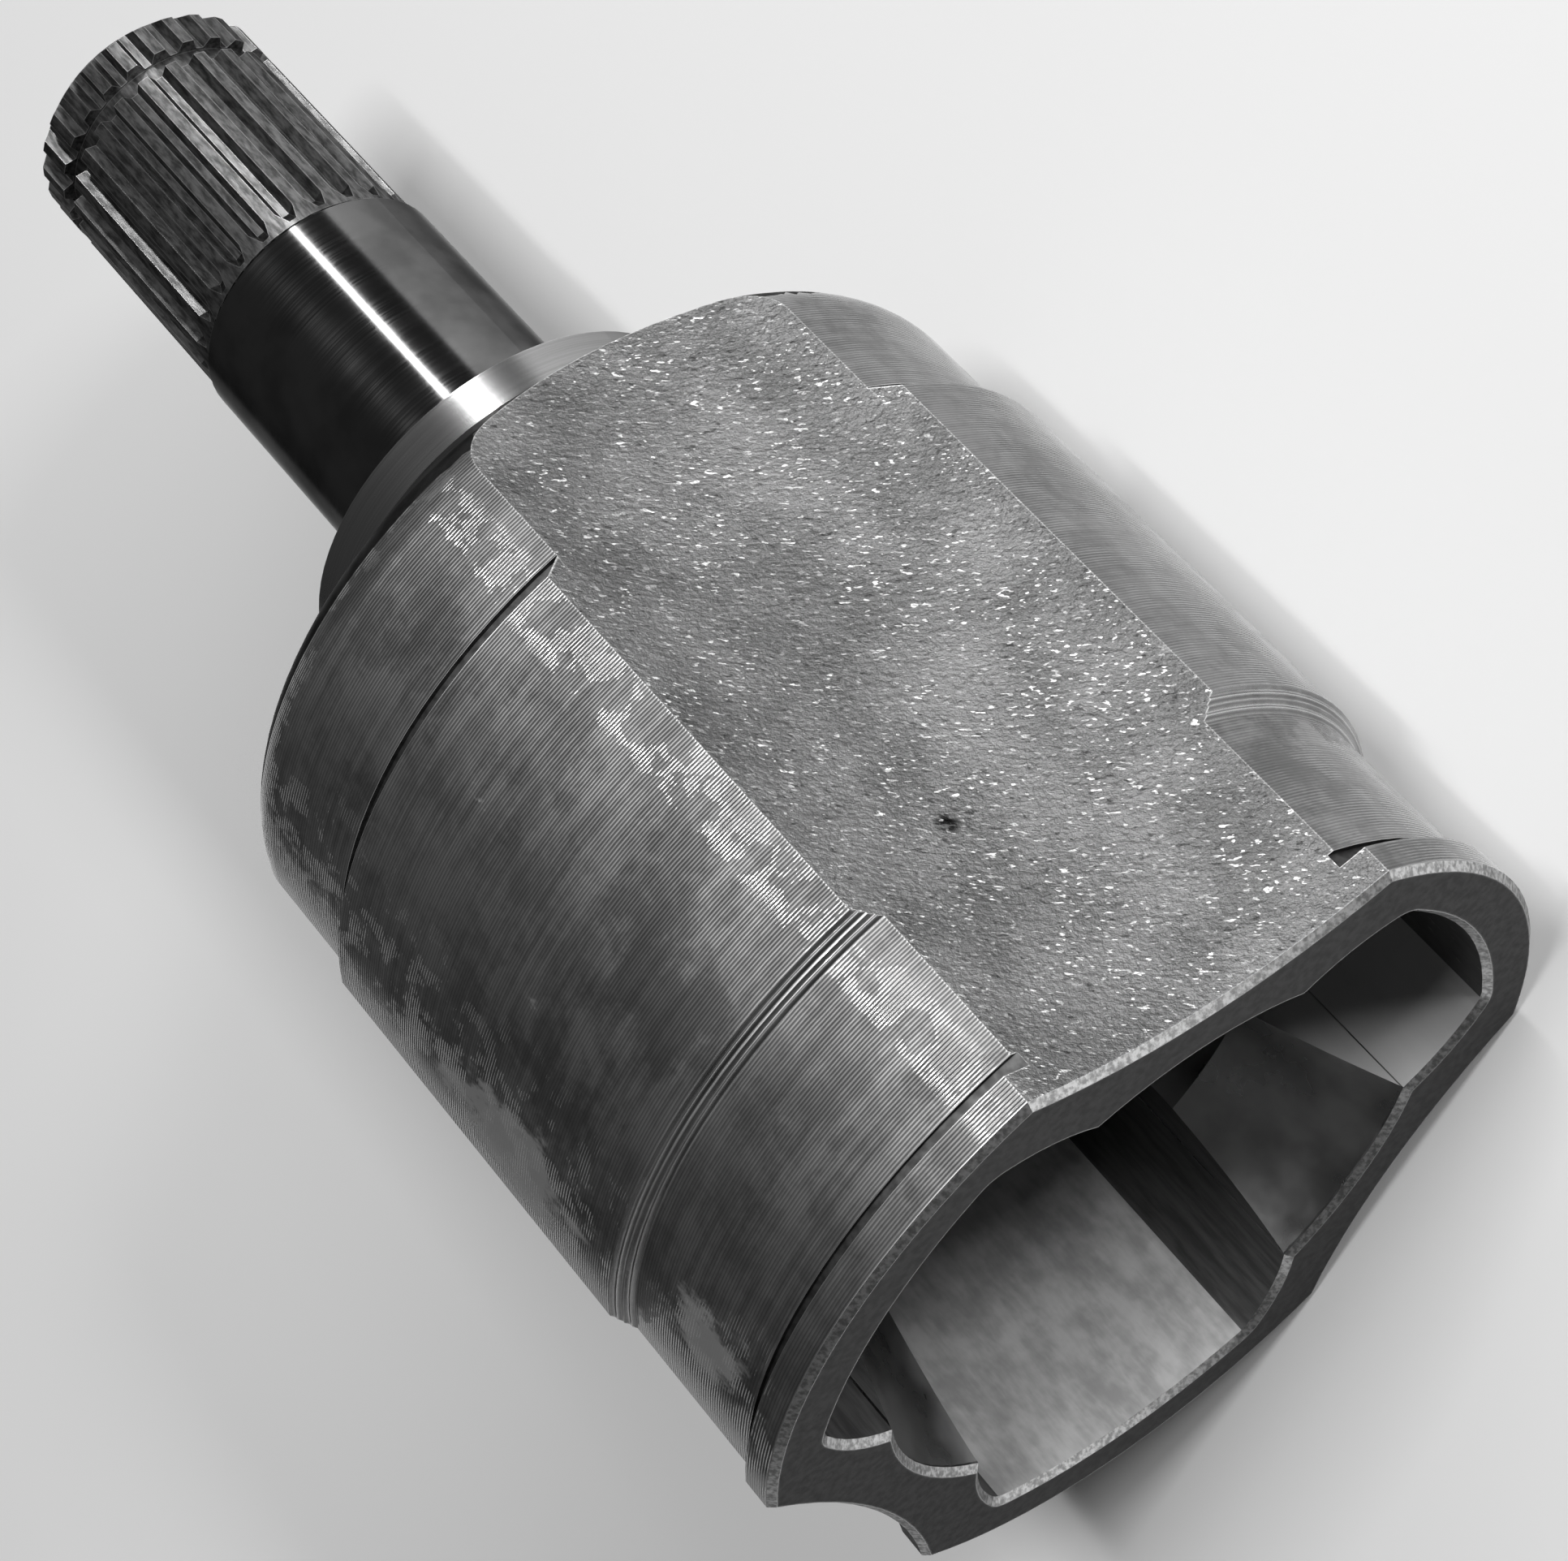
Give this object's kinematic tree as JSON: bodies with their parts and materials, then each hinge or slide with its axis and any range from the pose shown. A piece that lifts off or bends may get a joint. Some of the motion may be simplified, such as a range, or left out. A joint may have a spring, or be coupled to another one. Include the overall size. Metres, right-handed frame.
{
  "type": "tripod constant-velocity joint",
  "caption": "Inner constant-velocity joint: a three-lobed housing with a splined stub shaft, and a tripod on needle-borne rollers that slides and tilts in its three tracks.",
  "frame": {"origin": "on the joint's axis at the collar's back face, where the ground journal of the stub starts", "axes": "+X along the joint's axis out of the housing's mouth, +Z through the middle of the first lobe, +Y completing a right-handed frame"},
  "size_m": [0.162, 0.082, 0.0777],
  "materials": {
    "housing_steel": "forged, turned and ground carbon steel",
    "spider_steel": "forged, case-hardened and ground on the trunnions",
    "roller_steel": "ground bearing steel",
    "needle_steel": "lapped bearing steel",
    "washer_steel": "pressed, hardened steel",
    "spring_steel": "phosphated spring steel"
  },
  "bodies": {
    "housing": {"housing": "housing_steel"},
    "thrust_washer": {"outer_washer_1": "washer_steel"},
    "tripod": {"spider": "spider_steel", "inner_washer_1": "washer_steel", "inner_washer_2": "washer_steel", "inner_washer_3": "washer_steel", "outer_washer_2": "washer_steel", "outer_washer_3": "washer_steel", "snap_ring_1": "spring_steel", "snap_ring_2": "spring_steel", "snap_ring_3": "spring_steel"},
    "roller_1": {"roller_1": "roller_steel"},
    "needles_1": {"needle_set_1": "needle_steel"},
    "roller_2": {"roller_2": "roller_steel"},
    "needles_2": {"needle_set_2": "needle_steel"},
    "roller_3": {"roller_3": "roller_steel"},
    "needles_3": {"needle_set_3": "needle_steel"}
  },
  "joints": [
    {"name": "plunge", "type": "slide", "parent": "housing", "child": "thrust_washer", "axis": [1, 0, 0], "range_m": [0, 0.03]},
    {"name": "articulation", "type": "hinge", "parent": "thrust_washer", "child": "tripod", "pos_m": [0.0465, 0, 0], "axis": [0, 0, 1], "range_deg": [-13, 13]},
    {"name": "roller_1_spin", "type": "hinge", "parent": "tripod", "child": "roller_1", "pos_m": [0.0465, 0, 0], "axis": [0, 0, 1], "range_deg": [-101, 0]},
    {"name": "needles_1_orbit", "type": "hinge", "parent": "tripod", "child": "needles_1", "pos_m": [0.0465, 0, 0], "axis": [0, 0, 1], "range_deg": [-57, 0]},
    {"name": "roller_2_spin", "type": "hinge", "parent": "tripod", "child": "roller_2", "pos_m": [0.0465, 0, 0], "axis": [0, 0.866, -0.5], "range_deg": [-101, 0]},
    {"name": "needles_2_orbit", "type": "hinge", "parent": "tripod", "child": "needles_2", "pos_m": [0.0465, 0, 0], "axis": [0, 0.866, -0.5], "range_deg": [-57, 0]},
    {"name": "roller_3_spin", "type": "hinge", "parent": "tripod", "child": "roller_3", "pos_m": [0.0465, 0, 0], "axis": [0, -0.866, -0.5], "range_deg": [-101, 0]},
    {"name": "needles_3_orbit", "type": "hinge", "parent": "tripod", "child": "needles_3", "pos_m": [0.0465, 0, 0], "axis": [0, -0.866, -0.5], "range_deg": [-57, 0]}
  ],
  "couplings": [
    {"joint": "roller_1_spin", "follows": "plunge", "rad_per_m": -58.309},
    {"joint": "needles_1_orbit", "follows": "plunge", "rad_per_m": -32.785},
    {"joint": "roller_2_spin", "follows": "plunge", "rad_per_m": -58.309},
    {"joint": "needles_2_orbit", "follows": "plunge", "rad_per_m": -32.785},
    {"joint": "roller_3_spin", "follows": "plunge", "rad_per_m": -58.309},
    {"joint": "needles_3_orbit", "follows": "plunge", "rad_per_m": -32.785}
  ]
}
